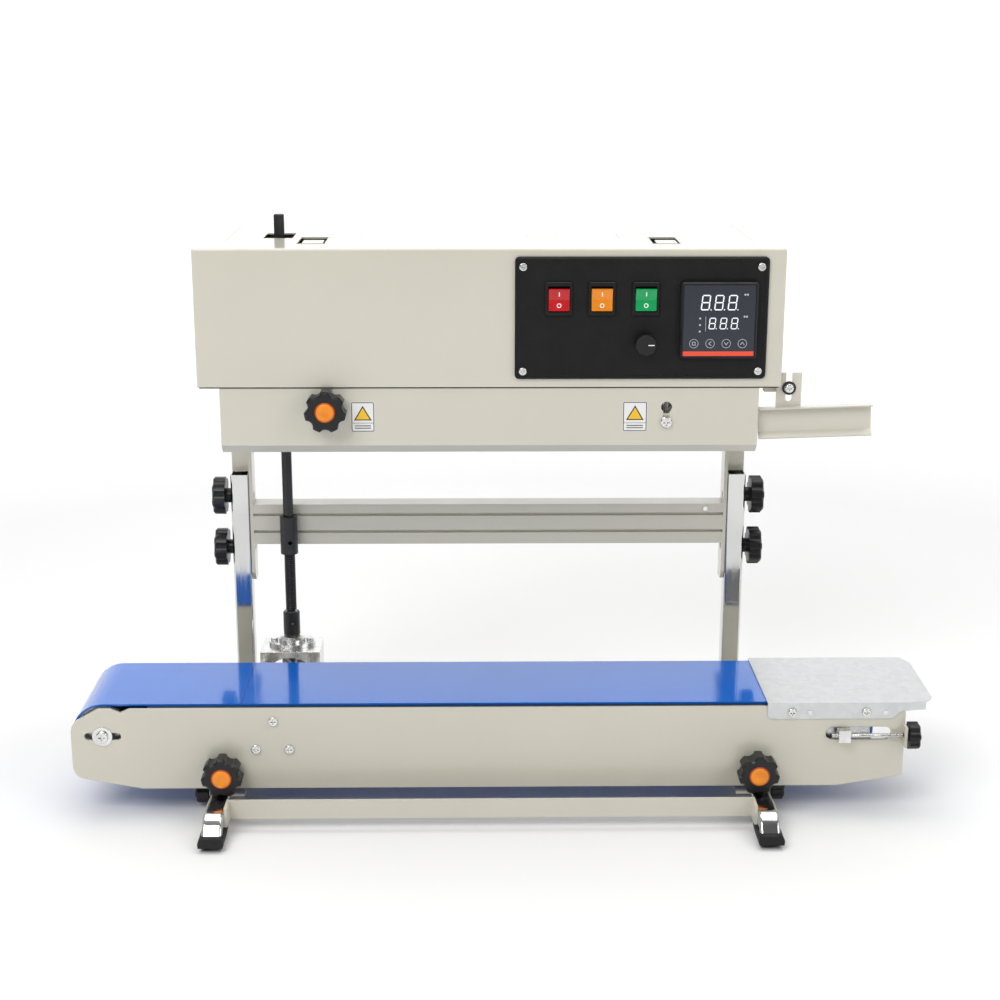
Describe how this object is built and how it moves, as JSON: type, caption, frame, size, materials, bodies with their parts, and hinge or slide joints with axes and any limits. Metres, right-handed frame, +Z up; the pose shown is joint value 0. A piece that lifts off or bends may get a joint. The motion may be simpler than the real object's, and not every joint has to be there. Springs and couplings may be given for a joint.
{
  "type": "continuous band sealer",
  "caption": "Bench band sealer: a beige sealing head with control panel slides on chromed posts above a belt conveyor, which a spring shaft drives from the head.",
  "frame": {"origin": "centre of the bounding box in plan, on the floor under the foot caps", "axes": "+Z up, +X towards the infeed plate (bags travel along -X), -Y towards the operator and the control panel"},
  "size_m": [0.863, 0.413, 0.58],
  "materials": {
    "beige_paint": "satin powder coat, warm beige",
    "chrome_tube": "bright chrome plating",
    "cap_rubber": "matte black moulding",
    "knob_black": "moulded black, finely grained",
    "belt_blue": "smooth glossy blue coating",
    "galvanised": "galvanised sheet with faint spangle",
    "zinc_plate": "zinc plated",
    "black_steel": "blackened steel, satin",
    "roller_steel": "turned steel",
    "panel_black": "black, orange-peel grain",
    "switch_black": "black moulded bezel",
    "rocker_red": "translucent red",
    "rocker_amber": "translucent amber",
    "rocker_green": "translucent green",
    "controller_case": "dark slate moulding",
    "gear_steel": "oiled steel",
    "alloy": "milled alloy",
    "band_tape": "coated glass cloth, brown",
    "motor_paint": "dark grey enamel"
  },
  "bodies": {
    "stand": {"left_frame": "chrome_tube", "right_frame": "chrome_tube", "foot_caps": "cap_rubber", "conveyor_saddles": "beige_paint", "front_crossbar": "beige_paint", "conveyor_front_plate": "beige_paint", "conveyor_rear_plate": "beige_paint", "belt_bed": "galvanised", "conveyor_belt": "belt_blue", "infeed_plate": "galvanised", "conveyor_screws": "zinc_plate", "drive_bracket": "zinc_plate", "flange_bearings": "zinc_plate"},
    "head": {"head_cover": "beige_paint", "head_chassis": "beige_paint", "front_guard": "beige_paint", "rear_guard": "beige_paint", "left_head_bracket": "beige_paint", "right_head_bracket": "beige_paint", "crossbeam": "beige_paint", "control_panel": "panel_black", "head_screws": "zinc_plate", "switch_bodies": "switch_black", "temperature_controller": "controller_case", "heating_blocks": "alloy", "cooling_blocks": "alloy", "front_band": "band_tape", "rear_band": "band_tape", "drive_motor": "motor_paint"},
    "drive_shaft": {"hex_shaft": "black_steel", "upper_coupling": "black_steel", "spring_shaft": "black_steel", "lower_coupling": "black_steel", "upper_bevel_gear": "gear_steel"},
    "drive_roller": {"drive_roller": "roller_steel", "lower_bevel_gear": "gear_steel"},
    "tension_carriage": {"tension_blocks": "zinc_plate"},
    "amber_rocker": {"amber_rocker": "rocker_amber"},
    "front_drive_wheel": {"front_drive_wheel": "alloy"},
    "front_idler_wheel": {"front_idler_wheel": "alloy"},
    "green_rocker": {"green_rocker": "rocker_green"},
    "guard_knob": {"guard_knob": "knob_black"},
    "guide_rail": {"guide_rail": "beige_paint"},
    "hex_gear": {"hex_gear": "gear_steel"},
    "idler_roller": {"idler_roller": "roller_steel"},
    "left_base_knob": {"left_base_knob": "knob_black"},
    "left_lower_knob": {"left_lower_knob": "knob_black"},
    "left_plate_knob": {"left_plate_knob": "knob_black"},
    "left_upper_knob": {"left_upper_knob": "knob_black"},
    "motor_gear": {"motor_gear": "gear_steel"},
    "rear_drive_wheel": {"rear_drive_wheel": "alloy"},
    "rear_idler_wheel": {"rear_idler_wheel": "alloy"},
    "red_rocker": {"red_rocker": "rocker_red"},
    "right_base_knob": {"right_base_knob": "knob_black"},
    "right_lower_knob": {"right_lower_knob": "knob_black"},
    "right_plate_knob": {"right_plate_knob": "knob_black"},
    "right_upper_knob": {"right_upper_knob": "knob_black"},
    "speed_knob": {"speed_knob": "knob_black"},
    "tension_knob": {"tension_knob": "knob_black"},
    "tension_roller": {"tension_roller": "roller_steel"}
  },
  "joints": [
    {"name": "head_height", "type": "slide", "parent": "stand", "child": "head", "axis": [0, 0, 1], "range_m": [-0.025, 0.015]},
    {"name": "left_upper_knob_turn", "type": "hinge", "parent": "head", "child": "left_upper_knob", "pos_m": [-0.2948, 0.1075, 0.272], "axis": [-1, 0, 0], "range_deg": [0, 360]},
    {"name": "left_lower_knob_turn", "type": "hinge", "parent": "head", "child": "left_lower_knob", "pos_m": [-0.2948, 0.1075, 0.2135], "axis": [-1, 0, 0], "range_deg": [0, 360]},
    {"name": "left_base_knob_turn", "type": "hinge", "parent": "stand", "child": "left_base_knob", "pos_m": [-0.2973, -0.0965, 0.022], "axis": [-1, 0, 0], "range_deg": [0, 360]},
    {"name": "left_plate_knob_turn", "type": "hinge", "parent": "stand", "child": "left_plate_knob", "pos_m": [-0.2805, -0.1208, 0.0496], "axis": [0, -1, 0], "range_deg": [0, 360]},
    {"name": "right_upper_knob_turn", "type": "hinge", "parent": "head", "child": "right_upper_knob", "pos_m": [0.2678, 0.1075, 0.272], "axis": [1, 0, 0], "range_deg": [0, 360]},
    {"name": "right_lower_knob_turn", "type": "hinge", "parent": "head", "child": "right_lower_knob", "pos_m": [0.2678, 0.1075, 0.2135], "axis": [1, 0, 0], "range_deg": [0, 360]},
    {"name": "right_base_knob_turn", "type": "hinge", "parent": "stand", "child": "right_base_knob", "pos_m": [0.2703, -0.0965, 0.022], "axis": [1, 0, 0], "range_deg": [0, 360]},
    {"name": "right_plate_knob_turn", "type": "hinge", "parent": "stand", "child": "right_plate_knob", "pos_m": [0.2535, -0.1208, 0.0496], "axis": [0, -1, 0], "range_deg": [0, 360]},
    {"name": "guard_knob_turn", "type": "hinge", "parent": "head", "child": "guard_knob", "pos_m": [-0.178, -0.0148, 0.397], "axis": [0, -1, 0], "range_deg": [0, 360]},
    {"name": "tension_knob_turn", "type": "hinge", "parent": "stand", "child": "tension_knob", "pos_m": [0.4018, -0.1265, 0.0855], "axis": [1, 0, 0], "range_deg": [-360, 360]},
    {"name": "tension_travel", "type": "slide", "parent": "stand", "child": "tension_carriage", "axis": [1, 0, 0], "range_m": [-0.01, 0]},
    {"name": "speed_knob_turn", "type": "hinge", "parent": "head", "child": "speed_knob", "pos_m": [0.1411, -0.0205, 0.4633], "axis": [0, -1, 0], "range_deg": [0, 300]},
    {"name": "red_rocker_press", "type": "hinge", "parent": "head", "child": "red_rocker", "pos_m": [0.0549, -0.0195, 0.5077], "axis": [-1, 0, 0], "range_deg": [0, 12]},
    {"name": "amber_rocker_press", "type": "hinge", "parent": "head", "child": "amber_rocker", "pos_m": [0.0975, -0.0195, 0.5077], "axis": [-1, 0, 0], "range_deg": [0, 12]},
    {"name": "green_rocker_press", "type": "hinge", "parent": "head", "child": "green_rocker", "pos_m": [0.1412, -0.0195, 0.5077], "axis": [-1, 0, 0], "range_deg": [0, 12]},
    {"name": "guide_rail_height", "type": "slide", "parent": "head", "child": "guide_rail", "axis": [0, 0, 1], "range_m": [-0.01, 0]},
    {"name": "motor_gear_spin", "type": "hinge", "parent": "head", "child": "motor_gear", "pos_m": [-0.16, 0.1, 0.43], "axis": [0, 0, 1], "continuous": true},
    {"name": "rear_drive_wheel_spin", "type": "hinge", "parent": "head", "child": "rear_drive_wheel", "pos_m": [-0.193, 0.0601, 0.43], "axis": [0, 0, 1], "continuous": true},
    {"name": "front_drive_wheel_spin", "type": "hinge", "parent": "head", "child": "front_drive_wheel", "pos_m": [-0.193, 0.0129, 0.43], "axis": [0, 0, 1], "continuous": true},
    {"name": "rear_idler_wheel_spin", "type": "hinge", "parent": "head", "child": "rear_idler_wheel", "pos_m": [0.165, 0.0601, 0.43], "axis": [0, 0, 1], "continuous": true},
    {"name": "front_idler_wheel_spin", "type": "hinge", "parent": "head", "child": "front_idler_wheel", "pos_m": [0.165, 0.0129, 0.43], "axis": [0, 0, 1], "continuous": true},
    {"name": "hex_gear_spin", "type": "hinge", "parent": "head", "child": "hex_gear", "pos_m": [-0.231, 0.0845, 0.43], "axis": [0, 0, 1], "continuous": true},
    {"name": "drive_shaft_spin", "type": "hinge", "parent": "stand", "child": "drive_shaft", "pos_m": [-0.231, 0.0845, 0.2], "axis": [0, 0, 1], "continuous": true},
    {"name": "drive_roller_spin", "type": "hinge", "parent": "stand", "child": "drive_roller", "pos_m": [-0.231, -0.05, 0.0814], "axis": [0, 1, 0], "continuous": true},
    {"name": "idler_roller_spin", "type": "hinge", "parent": "stand", "child": "idler_roller", "pos_m": [-0.4, -0.05, 0.0855], "axis": [0, 1, 0], "continuous": true},
    {"name": "tension_roller_spin", "type": "hinge", "parent": "tension_carriage", "child": "tension_roller", "pos_m": [0.3395, -0.05, 0.0855], "axis": [0, 1, 0], "continuous": true}
  ],
  "couplings": [
    {"joint": "rear_drive_wheel_spin", "follows": "motor_gear_spin", "ratio": -1.1974},
    {"joint": "front_drive_wheel_spin", "follows": "motor_gear_spin", "ratio": 1.1974},
    {"joint": "rear_idler_wheel_spin", "follows": "motor_gear_spin", "ratio": -1.1974},
    {"joint": "front_idler_wheel_spin", "follows": "motor_gear_spin", "ratio": 1.1974},
    {"joint": "hex_gear_spin", "follows": "motor_gear_spin", "ratio": 1.3099},
    {"joint": "drive_shaft_spin", "follows": "motor_gear_spin", "ratio": 1.3099},
    {"joint": "drive_roller_spin", "follows": "motor_gear_spin", "ratio": -1.3099},
    {"joint": "idler_roller_spin", "follows": "motor_gear_spin", "ratio": -1.2211},
    {"joint": "tension_roller_spin", "follows": "motor_gear_spin", "ratio": -1.2211}
  ]
}
